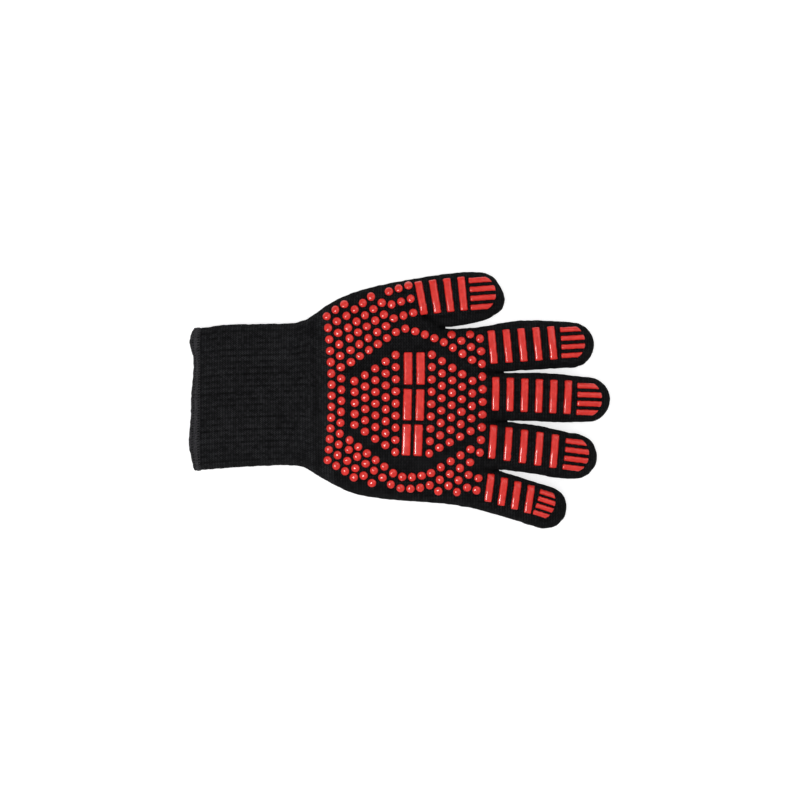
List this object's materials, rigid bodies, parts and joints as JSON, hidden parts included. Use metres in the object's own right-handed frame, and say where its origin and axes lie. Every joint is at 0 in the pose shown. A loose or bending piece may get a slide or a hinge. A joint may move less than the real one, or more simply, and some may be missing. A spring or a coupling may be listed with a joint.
{
  "type": "heat resistant glove",
  "caption": "Knitted heat resistant glove for the left hand, with a ribbed cuff and silicone grips on the palm; every digit curls.",
  "frame": {"origin": "on the surface that the glove's back rests on, under the middle of its outline", "axes": "+X towards the fingertips, +Y towards the thumb, +Z out of the palm"},
  "size_m": [0.3, 0.1833, 0.0179],
  "materials": {
    "black_knit": "matte plain knit",
    "liner_knit": "soft matte knit",
    "hem_yarn": "overlocked yarn",
    "red_silicone": "glossy moulded silicone"
  },
  "bodies": {
    "palm": {"palm_shell": "black_knit", "palm_liner": "liner_knit", "palm_bars_index_side": "red_silicone", "palm_bars_centre": "red_silicone", "palm_bars_little_side": "red_silicone", "little_bar_1": "red_silicone", "ring_bar_1": "red_silicone", "middle_bar_1": "red_silicone", "index_bar_1": "red_silicone", "thumb_bar_1": "red_silicone", "thumb_bar_2": "red_silicone"},
    "cuff": {"cuff_shell": "black_knit", "cuff_liner": "liner_knit", "cuff_hem": "hem_yarn"},
    "little_base": {"little_base_shell": "black_knit", "little_base_liner": "liner_knit", "little_bar_2": "red_silicone"},
    "little_middle": {"little_middle_shell": "black_knit", "little_middle_liner": "liner_knit", "little_bar_3": "red_silicone", "little_bar_4": "red_silicone"},
    "little_tip": {"little_tip_shell": "black_knit", "little_tip_liner": "liner_knit"},
    "ring_base": {"ring_base_shell": "black_knit", "ring_base_liner": "liner_knit", "ring_bar_2": "red_silicone", "ring_bar_3": "red_silicone"},
    "ring_middle": {"ring_middle_shell": "black_knit", "ring_middle_liner": "liner_knit", "ring_bar_4": "red_silicone", "ring_bar_5": "red_silicone"},
    "ring_tip": {"ring_tip_shell": "black_knit", "ring_tip_liner": "liner_knit"},
    "middle_base": {"middle_base_shell": "black_knit", "middle_base_liner": "liner_knit", "middle_bar_2": "red_silicone", "middle_bar_3": "red_silicone", "middle_bar_4": "red_silicone"},
    "middle_middle": {"middle_middle_shell": "black_knit", "middle_middle_liner": "liner_knit", "middle_bar_5": "red_silicone", "middle_bar_6": "red_silicone"},
    "middle_tip": {"middle_tip_shell": "black_knit", "middle_tip_liner": "liner_knit"},
    "index_base": {"index_base_shell": "black_knit", "index_base_liner": "liner_knit", "index_bar_2": "red_silicone", "index_bar_3": "red_silicone"},
    "index_middle": {"index_middle_shell": "black_knit", "index_middle_liner": "liner_knit", "index_bar_4": "red_silicone", "index_bar_5": "red_silicone"},
    "index_tip": {"index_tip_shell": "black_knit", "index_tip_liner": "liner_knit"},
    "thumb_base": {"thumb_base_shell": "black_knit", "thumb_base_liner": "liner_knit", "thumb_bar_3": "red_silicone", "thumb_bar_4": "red_silicone"},
    "thumb_tip": {"thumb_tip_shell": "black_knit", "thumb_tip_liner": "liner_knit"}
  },
  "joints": [
    {"name": "wrist", "type": "hinge", "parent": "palm", "child": "cuff", "pos_m": [-0.062, 0.003, 0.008], "axis": [0, 1, 0], "range_deg": [-40, 40]},
    {"name": "little_knuckle", "type": "hinge", "parent": "palm", "child": "little_base", "pos_m": [0.0683, -0.0665, 0.016], "axis": [-0.1045, -0.9945, 0], "range_deg": [0, 80]},
    {"name": "little_middle_joint", "type": "hinge", "parent": "little_base", "child": "little_middle", "pos_m": [0.0775, -0.069, 0.016], "axis": [-0.1219, -0.9925, 0], "range_deg": [0, 85]},
    {"name": "little_tip_joint", "type": "hinge", "parent": "little_middle", "child": "little_tip", "pos_m": [0.0957, -0.0745, 0.016], "axis": [-0.1564, -0.9877, 0], "range_deg": [0, 51]},
    {"name": "ring_knuckle", "type": "hinge", "parent": "palm", "child": "ring_base", "pos_m": [0.0714, -0.0326, 0.016], "axis": [-0.0523, -0.9986, 0], "range_deg": [0, 80]},
    {"name": "ring_middle_joint", "type": "hinge", "parent": "ring_base", "child": "ring_middle", "pos_m": [0.0934, -0.035, 0.016], "axis": [-0.0698, -0.9976, 0], "range_deg": [0, 85]},
    {"name": "ring_tip_joint", "type": "hinge", "parent": "ring_middle", "child": "ring_tip", "pos_m": [0.1149, -0.039, 0.016], "axis": [-0.0872, -0.9962, 0], "range_deg": [0, 51]},
    {"name": "middle_knuckle", "type": "hinge", "parent": "palm", "child": "middle_base", "pos_m": [0.0729, 0.0023, 0.016], "axis": [-0.0174, -0.9998, 0], "range_deg": [0, 80]},
    {"name": "middle_middle_joint", "type": "hinge", "parent": "middle_base", "child": "middle_middle", "pos_m": [0.1035, 0.0022, 0.016], "axis": [-0.0349, -0.9994, 0], "range_deg": [0, 85]},
    {"name": "middle_tip_joint", "type": "hinge", "parent": "middle_middle", "child": "middle_tip", "pos_m": [0.124, 0.001, 0.016], "axis": [-0.0349, -0.9994, 0], "range_deg": [0, 51]},
    {"name": "index_knuckle", "type": "hinge", "parent": "palm", "child": "index_base", "pos_m": [0.071, 0.037, 0.016], "axis": [0.0523, -0.9986, 0], "range_deg": [0, 80]},
    {"name": "index_middle_joint", "type": "hinge", "parent": "index_base", "child": "index_middle", "pos_m": [0.0922, 0.0386, 0.016], "axis": [0.0698, -0.9976, 0], "range_deg": [0, 85]},
    {"name": "index_tip_joint", "type": "hinge", "parent": "index_middle", "child": "index_tip", "pos_m": [0.1126, 0.039, 0.016], "axis": [0.0785, -0.9969, 0], "range_deg": [0, 51]},
    {"name": "thumb_knuckle", "type": "hinge", "parent": "palm", "child": "thumb_base", "pos_m": [0.0294, 0.0743, 0.016], "axis": [0.1478, -0.989, 0], "range_deg": [0, 50]},
    {"name": "thumb_tip_joint", "type": "hinge", "parent": "thumb_base", "child": "thumb_tip", "pos_m": [0.0485, 0.073, 0.016], "axis": [0.0785, -0.9969, 0], "range_deg": [0, 70]}
  ],
  "couplings": [
    {"joint": "little_tip_joint", "follows": "little_middle_joint", "ratio": 0.6},
    {"joint": "ring_tip_joint", "follows": "ring_middle_joint", "ratio": 0.6},
    {"joint": "middle_tip_joint", "follows": "middle_middle_joint", "ratio": 0.6},
    {"joint": "index_tip_joint", "follows": "index_middle_joint", "ratio": 0.6}
  ]
}
